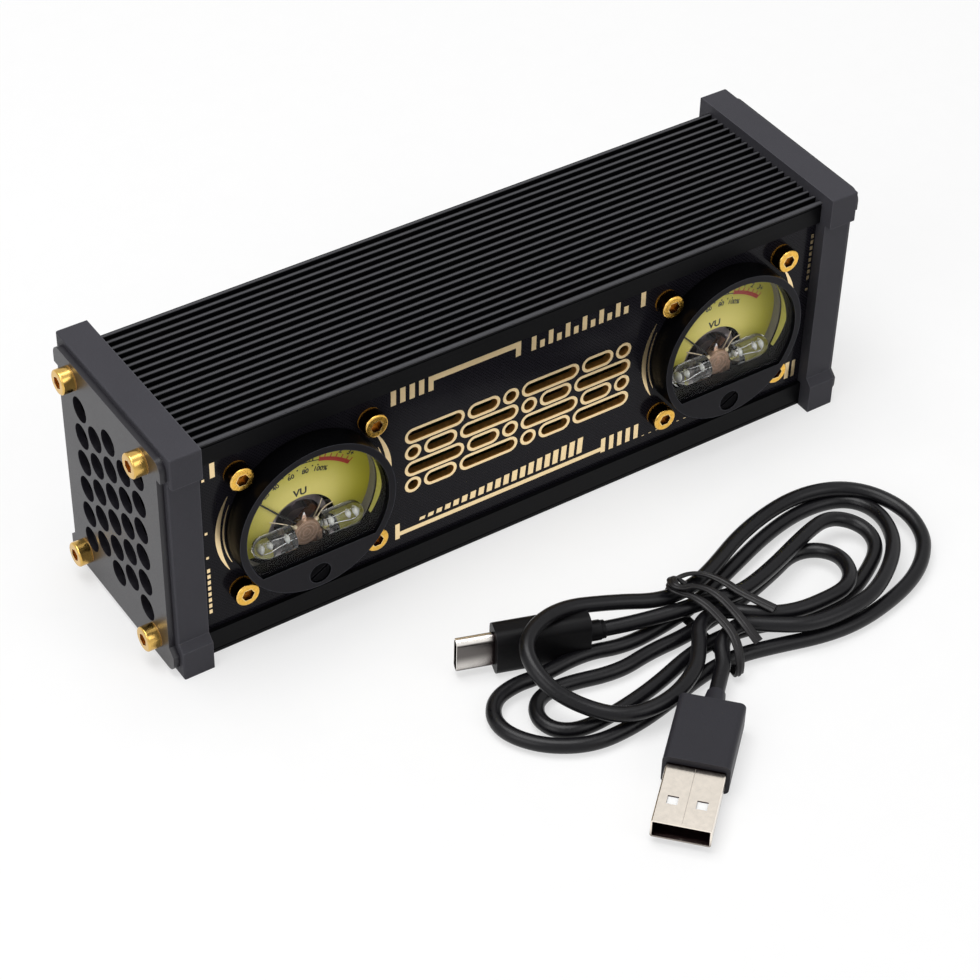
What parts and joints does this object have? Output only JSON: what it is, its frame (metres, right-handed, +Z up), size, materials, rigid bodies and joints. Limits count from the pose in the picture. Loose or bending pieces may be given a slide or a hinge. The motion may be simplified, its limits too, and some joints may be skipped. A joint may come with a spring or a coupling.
{
  "type": "analog vu meter",
  "caption": "Two-channel analog level meter in a ribbed metal case with vented end plates, brass screws and a loose USB power lead.",
  "frame": {"origin": "middle of the case's footprint, on the surface that it stands on", "axes": "+X along the case to the right as seen from the front, +Y from the front to the rear, +Z up"},
  "size_m": [0.177, 0.1435, 0.0585],
  "materials": {
    "black_anodised": "black anodised, extruded",
    "frame_grey_black": "matt dark grey",
    "black_board": "black solder mask, semi-gloss",
    "brass": "bright brass",
    "bezel_black": "satin black moulding",
    "clear_lens": "clear acrylic",
    "dial_yellow": "printed matt yellow green",
    "soft_iron": "zinc plated",
    "magnet": "sintered magnet",
    "copper_boss": "copper brown moulding",
    "needle_black": "matt black",
    "coil_copper": "enamelled copper wire",
    "steel": "bright steel",
    "spring_bronze": "phosphor bronze",
    "screw_black": "black, slotted",
    "lamp_glass": "clear glass",
    "green_board": "green solder mask",
    "part_black": "moulded black",
    "connector_metal": "nickel plated steel",
    "knob_black": "moulded black",
    "cord_black": "smooth black jacket",
    "tie_black": "flat plastic coated wire",
    "tongue_white": "white moulding"
  },
  "bodies": {
    "root": {"top_extrusion": "black_anodised", "base_extrusion": "black_anodised", "left_end_frame": "frame_grey_black", "left_end_plate": "black_board", "left_end_screws": "brass", "left_meter_bezel": "bezel_black", "left_meter_lens": "clear_lens", "left_meter_cup": "bezel_black", "left_dial_plate": "dial_yellow", "left_magnet_yoke": "soft_iron", "left_magnet_core": "magnet", "left_pivot_bridge": "copper_boss", "left_hairspring": "spring_bronze", "left_meter_lamps": "lamp_glass", "left_meter_screws": "brass", "left_meter_standoffs": "brass", "left_meter_board": "green_board", "right_end_frame": "frame_grey_black", "right_end_plate": "black_board", "right_end_screws": "brass", "right_meter_bezel": "bezel_black", "right_meter_lens": "clear_lens", "right_meter_cup": "bezel_black", "right_dial_plate": "dial_yellow", "right_magnet_yoke": "soft_iron", "right_magnet_core": "magnet", "right_pivot_bridge": "copper_boss", "right_hairspring": "spring_bronze", "right_meter_lamps": "lamp_glass", "right_meter_screws": "brass", "right_meter_standoffs": "brass", "right_meter_board": "green_board", "front_panel": "black_board", "rear_panel": "black_board", "main_board": "green_board", "board_parts": "part_black", "usb_c_inlet": "connector_metal", "line_in_jack": "part_black", "gain_pot": "part_black", "meter_nuts": "steel", "usb_c_shell": "connector_metal", "usb_c_grip": "cord_black", "usb_a_shell": "connector_metal", "usb_a_tongue": "tongue_white", "usb_a_grip": "cord_black", "lead_hank": "cord_black", "lead_tail": "cord_black", "lead_tie": "tie_black"},
    "left_movement": {"left_needle": "needle_black", "left_moving_coil": "coil_copper", "left_pivot_shaft": "steel"},
    "left_zero_screw": {"left_zero_screw": "screw_black"},
    "left_zero_lever": {"left_zero_lever": "steel"},
    "right_movement": {"right_needle": "needle_black", "right_moving_coil": "coil_copper", "right_pivot_shaft": "steel"},
    "right_zero_screw": {"right_zero_screw": "screw_black"},
    "right_zero_lever": {"right_zero_lever": "steel"},
    "gain_knob": {"gain_knob": "knob_black", "gain_shaft": "steel"}
  },
  "joints": [
    {"name": "left_needle_swing", "type": "hinge", "parent": "root", "child": "left_movement", "pos_m": [-0.0523, -0.0185, 0.0223], "axis": [0, 1, 0], "range_deg": [0, 88], "stiffness_Nm_per_rad": 0.00001, "springref_deg": -5.73},
    {"name": "left_zero_adjust", "type": "hinge", "parent": "root", "child": "left_zero_screw", "pos_m": [-0.0523, -0.022, 0.0151], "axis": [0, 1, 0], "range_deg": [-90, 90]},
    {"name": "left_lever_turn", "type": "hinge", "parent": "root", "child": "left_zero_lever", "pos_m": [-0.0523, -0.0192, 0.0223], "axis": [0, 1, 0], "range_deg": [-5, 5]},
    {"name": "right_needle_swing", "type": "hinge", "parent": "root", "child": "right_movement", "pos_m": [0.0523, -0.0185, 0.0223], "axis": [0, 1, 0], "range_deg": [0, 88], "stiffness_Nm_per_rad": 0.00001, "springref_deg": -5.73},
    {"name": "right_zero_adjust", "type": "hinge", "parent": "root", "child": "right_zero_screw", "pos_m": [0.0523, -0.022, 0.0151], "axis": [0, 1, 0], "range_deg": [-90, 90]},
    {"name": "right_lever_turn", "type": "hinge", "parent": "root", "child": "right_zero_lever", "pos_m": [0.0523, -0.0192, 0.0223], "axis": [0, 1, 0], "range_deg": [-5, 5]},
    {"name": "gain_turn", "type": "hinge", "parent": "root", "child": "gain_knob", "pos_m": [0.04, 0.022, 0.0181], "axis": [0, 1, 0], "range_deg": [-150, 150]}
  ],
  "couplings": [
    {"joint": "left_lever_turn", "follows": "left_zero_adjust", "ratio": -0.0531},
    {"joint": "right_lever_turn", "follows": "right_zero_adjust", "ratio": -0.0531}
  ]
}
